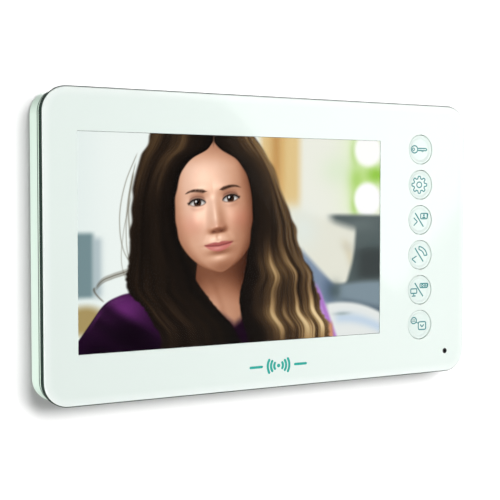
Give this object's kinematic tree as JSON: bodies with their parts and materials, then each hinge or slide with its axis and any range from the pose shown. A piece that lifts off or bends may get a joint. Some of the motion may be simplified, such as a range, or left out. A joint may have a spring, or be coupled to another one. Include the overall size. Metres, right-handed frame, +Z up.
{
  "type": "video intercom monitor",
  "caption": "Flat wall-mounted video door-entry monitor with a wide screen, a column of dished push keys, two-part casing and a pressed steel wall bracket.",
  "frame": {"origin": "centre of the wall bracket's screw pattern, on the bracket's back face, which lies on the wall", "axes": "+Z up, the screen faces -Y, +X to the right as seen from the front"},
  "size_m": [0.219, 0.0175, 0.1308],
  "materials": {
    "white_gloss": "high-gloss white acrylic with a faint mint tint",
    "white_shell": "satin white moulded ABS",
    "dark_trim": "glossy dark moulded trim",
    "clear_window": "clear polished acrylic",
    "key_white": "glossy white dished keys",
    "screen_picture": "lit picture on the screen",
    "teal_print": "teal pad-printed pictograms",
    "steel": "zinc-plated pressed steel",
    "bright_steel": "nickel-plated screws and pins",
    "circuit_board": "green solder mask",
    "black_plastic": "matte black moulded plastic",
    "foam": "dark foam",
    "rubber": "black silicone rubber",
    "film": "milky optical film",
    "lcd_cell": "dark LCD glass",
    "ivory_plastic": "ivory connector plastic",
    "flex": "amber polyimide flex",
    "terminal_green": "green terminal plastic"
  },
  "bodies": {
    "bracket": {"wall_bracket": "steel"},
    "monitor": {"front_panel": "white_gloss", "display_window": "clear_window", "panel_tape": "foam", "trim_ring": "dark_trim", "front_shell": "white_shell", "rear_shell": "white_shell", "window_gasket": "foam", "lcd_frame": "steel", "lcd_glass": "lcd_cell", "lcd_diffuser": "film", "lcd_light_guide": "film", "lcd_led_strip": "ivory_plastic", "lcd_reflector": "bright_steel", "lcd_back_tray": "steel", "lcd_flex": "flex", "lcd_clamps": "steel", "lcd_clamp_screws": "bright_steel", "key_board": "circuit_board", "switch_bodies": "black_plastic", "key_board_screws": "bright_steel", "ribbon_cable": "film", "ribbon_connectors": "ivory_plastic", "main_board": "circuit_board", "processor": "black_plastic", "memory_chips": "black_plastic", "power_inductor": "black_plastic", "capacitors": "flex", "lcd_connector": "ivory_plastic", "terminal_block": "terminal_green", "terminal_screws": "bright_steel", "board_screws": "bright_steel", "speaker_basket": "black_plastic", "speaker_cone": "black_plastic", "speaker_magnet": "bright_steel", "speaker_gasket": "foam", "speaker_screws": "bright_steel", "microphone": "bright_steel", "microphone_boot": "rubber", "shell_screws": "bright_steel"},
    "pressed_unlock": {"unlock_key": "key_white", "unlock_plunger": "black_plastic"},
    "pressed_gate": {"gate_key": "key_white", "gate_plunger": "black_plastic"},
    "pressed_view": {"view_key": "key_white", "view_plunger": "black_plastic"},
    "pressed_talk": {"talk_key": "key_white", "talk_plunger": "black_plastic"},
    "pressed_camera": {"camera_key": "key_white", "camera_plunger": "black_plastic"},
    "pressed_intercom": {"intercom_key": "key_white", "intercom_plunger": "black_plastic"}
  },
  "joints": [
    {"name": "lift_off", "type": "slide", "parent": "bracket", "child": "monitor", "axis": [0, 0, 1], "range_m": [0, 0.0052]},
    {"name": "press_unlock", "type": "slide", "parent": "monitor", "child": "pressed_unlock", "axis": [0, 1, 0], "range_m": [0, 0.0005], "stiffness_N_per_m": 1500},
    {"name": "press_gate", "type": "slide", "parent": "monitor", "child": "pressed_gate", "axis": [0, 1, 0], "range_m": [0, 0.0005], "stiffness_N_per_m": 1500},
    {"name": "press_view", "type": "slide", "parent": "monitor", "child": "pressed_view", "axis": [0, 1, 0], "range_m": [0, 0.0005], "stiffness_N_per_m": 1500},
    {"name": "press_talk", "type": "slide", "parent": "monitor", "child": "pressed_talk", "axis": [0, 1, 0], "range_m": [0, 0.0005], "stiffness_N_per_m": 1500},
    {"name": "press_camera", "type": "slide", "parent": "monitor", "child": "pressed_camera", "axis": [0, 1, 0], "range_m": [0, 0.0005], "stiffness_N_per_m": 1500},
    {"name": "press_intercom", "type": "slide", "parent": "monitor", "child": "pressed_intercom", "axis": [0, 1, 0], "range_m": [0, 0.0005], "stiffness_N_per_m": 1500}
  ]
}
